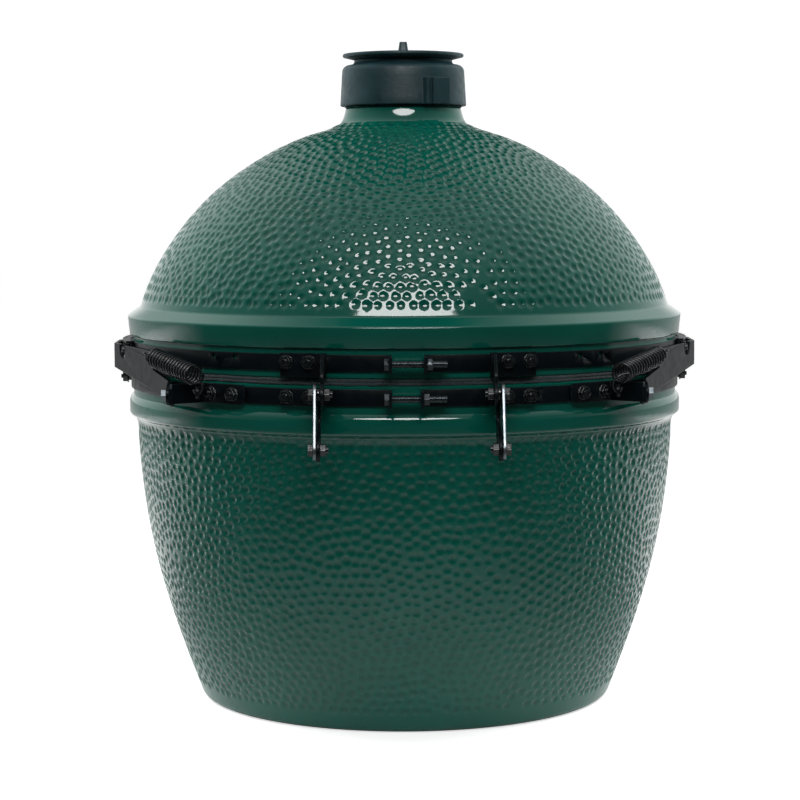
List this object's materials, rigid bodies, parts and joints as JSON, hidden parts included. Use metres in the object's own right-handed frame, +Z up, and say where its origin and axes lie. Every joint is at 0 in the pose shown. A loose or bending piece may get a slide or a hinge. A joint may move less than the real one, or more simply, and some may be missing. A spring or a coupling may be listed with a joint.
{
  "type": "kamado grill",
  "caption": "Egg-shaped ceramic charcoal grill with a dimpled glazed bowl and domed lid, banded rims, a link-and-arm lid hinge with springs, a chimney cap and a draft door.",
  "frame": {"origin": "centre of the flat foot the grill rests on", "axes": "+Z up along the axis of the bowl, -Y towards the hinge, +Y towards the cook and the draft door, +X to the right when facing the hinge from outside"},
  "size_m": [0.7264, 0.816, 0.8095],
  "materials": {
    "green_glaze": "glossy dimpled glaze",
    "fire_clay": "matt fired clay",
    "felt": "grey felt",
    "black_steel": "black powder coat",
    "zinc_steel": "zinc plated",
    "spring_steel": "drawn wire",
    "cast_iron": "seasoned black",
    "stainless": "brushed",
    "bamboo": "oiled",
    "dial_white": "matt enamel",
    "needle_red": "satin",
    "clear": "clear"
  },
  "bodies": {
    "grill_base": {"base_shell": "green_glaze", "base_gasket": "felt", "lower_band": "black_steel", "lower_band_bolt": "zinc_steel", "lower_band_nut": "zinc_steel", "rear_lower_bracket_left": "black_steel", "rear_lower_bracket_right": "black_steel", "lower_bracket_bolts": "black_steel", "spring_bracket_left": "black_steel", "spring_bracket_right": "black_steel", "link_base_pins": "black_steel", "link_base_nuts": "black_steel", "arm_base_pins": "black_steel", "arm_base_nuts": "black_steel", "side_stop_bolts": "black_steel", "side_stop_nuts": "black_steel", "fire_box": "fire_clay", "fire_ring": "fire_clay", "draft_frame": "stainless"},
    "lift_arms": {"lift_arm_left": "black_steel", "lift_arm_right": "black_steel", "lift_spring_left": "spring_steel", "lift_spring_right": "spring_steel"},
    "rear_links": {"rear_link_left": "black_steel", "rear_link_right": "black_steel", "link_lid_pins": "black_steel", "link_lid_nuts": "black_steel", "link_spacers": "black_steel"},
    "lid": {"lid_shell": "green_glaze", "lid_gasket": "felt", "upper_band": "black_steel", "upper_band_bolt": "zinc_steel", "upper_band_nut": "zinc_steel", "rear_upper_bracket_left": "black_steel", "rear_upper_bracket_right": "black_steel", "upper_bracket_bolts": "black_steel", "side_upper_bracket_left": "black_steel", "side_upper_bracket_right": "black_steel", "arm_lid_pins": "black_steel", "handle_bracket_left": "black_steel", "handle_bracket_right": "black_steel", "handle_bar": "bamboo", "handle_bolts": "black_steel", "thermometer_case": "stainless", "thermometer_dial": "dial_white", "thermometer_lens": "clear", "thermometer_stem": "stainless", "thermometer_nut": "zinc_steel"},
    "needle": {"thermometer_needle": "needle_red"},
    "chimney_cap": {"vent_cap": "cast_iron", "vent_gasket": "felt", "vent_pivot_pin": "black_steel"},
    "cap_cover": {"vent_cover": "cast_iron", "vent_dial_screw": "black_steel"},
    "cap_dial": {"vent_dial": "cast_iron"},
    "draft_slider": {"draft_door": "stainless"},
    "draft_mesh": {"draft_screen": "stainless"},
    "grid": {"cooking_grid": "stainless"},
    "grate": {"charcoal_grate": "cast_iron"}
  },
  "joints": [
    {"name": "arm_lift", "type": "hinge", "parent": "grill_base", "child": "lift_arms", "pos_m": [0, -0.255, 0.3945], "axis": [1, 0, 0], "range_deg": [0, 71], "deforming": ["lift_spring_left", "lift_spring_right"]},
    {"name": "lid_tilt", "type": "hinge", "parent": "lift_arms", "child": "lid", "pos_m": [0, 0.012, 0.4309], "axis": [1, 0, 0], "range_deg": [-26.2, 0]},
    {"name": "link_swing", "type": "hinge", "parent": "grill_base", "child": "rear_links", "pos_m": [0, -0.388, 0.345], "axis": [1, 0, 0], "range_deg": [0, 77.5]},
    {"name": "needle_turn", "type": "hinge", "parent": "lid", "child": "needle", "pos_m": [0, 0.29532, 0.5719], "axis": [0, 0.7901, 0.613], "range_deg": [-240, 0]},
    {"name": "cap_lift", "type": "slide", "parent": "lid", "child": "chimney_cap", "axis": [0, 0, 1], "range_m": [0, 0.03]},
    {"name": "cover_swing", "type": "hinge", "parent": "chimney_cap", "child": "cap_cover", "pos_m": [0.02775, -0.04806, 0.7915], "axis": [0, 0, 1], "range_deg": [0, 100]},
    {"name": "dial_turn", "type": "hinge", "parent": "cap_cover", "child": "cap_dial", "pos_m": [0, 0, 0.7945], "axis": [0, 0, 1], "range_deg": [0, 22.5]},
    {"name": "draft_door_slide", "type": "hinge", "parent": "grill_base", "child": "draft_slider", "pos_m": [0, 0, 0.0925], "axis": [0, 0, 1], "range_deg": [0, 26]},
    {"name": "draft_screen_slide", "type": "hinge", "parent": "grill_base", "child": "draft_mesh", "pos_m": [0, 0, 0.0925], "axis": [0, 0, 1], "range_deg": [0, 26]},
    {"name": "grid_lift", "type": "slide", "parent": "grill_base", "child": "grid", "axis": [0, 0, 1], "range_m": [0, 0.05]},
    {"name": "grate_lift", "type": "slide", "parent": "grill_base", "child": "grate", "axis": [0, 0, 1], "range_m": [0, 0.25]}
  ],
  "couplings": [
    {"joint": "lid_tilt", "follows": "arm_lift", "ratio": -0.368},
    {"joint": "link_swing", "follows": "arm_lift", "ratio": 1.09}
  ]
}
